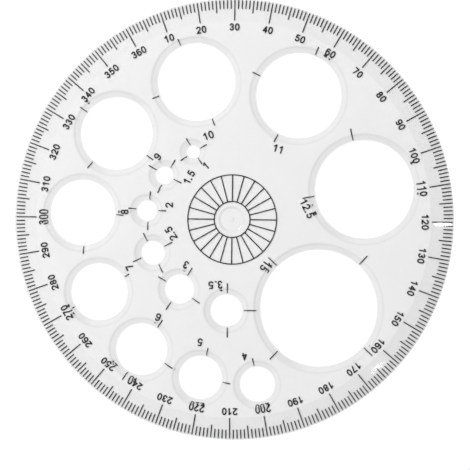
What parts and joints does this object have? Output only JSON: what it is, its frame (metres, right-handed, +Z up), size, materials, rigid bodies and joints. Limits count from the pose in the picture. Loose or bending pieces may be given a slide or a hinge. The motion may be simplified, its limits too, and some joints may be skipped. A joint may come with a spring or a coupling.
{
  "type": "circle template",
  "caption": "Clear round drafting template: bevelled circular openings of graded size in a flat disc, with a printed 360 degree scale, centre rosette and crosshairs.",
  "frame": {"origin": "centre of the disc, on its flat underside", "axes": "+Z up out of the bevelled top face; +Y from the centre towards the 30 degree graduation; the scale runs clockwise seen from above"},
  "size_m": [0.115, 0.115, 0.0022],
  "materials": {
    "clear_plastic": "clear polished polystyrene",
    "printed_ink": "matt black hot-stamped ink"
  },
  "bodies": {
    "root": {"template_plate": "clear_plastic", "one_degree_lines": "printed_ink", "five_degree_lines": "printed_ink", "ten_degree_lines": "printed_ink", "degree_numbers": "printed_ink", "centre_rosette": "printed_ink", "circle_15_marks": "printed_ink", "circle_12_5_marks": "printed_ink", "circle_11_marks": "printed_ink", "circle_10_marks": "printed_ink", "circle_9_marks": "printed_ink", "circle_8_marks": "printed_ink", "circle_7_marks": "printed_ink", "circle_6_marks": "printed_ink", "circle_5_marks": "printed_ink", "circle_4_marks": "printed_ink", "circle_3_5_marks": "printed_ink", "circle_3_marks": "printed_ink", "circle_2_5_marks": "printed_ink", "circle_2_marks": "printed_ink", "circle_1_5_marks": "printed_ink", "circle_1_marks": "printed_ink"}
  },
  "joints": []
}
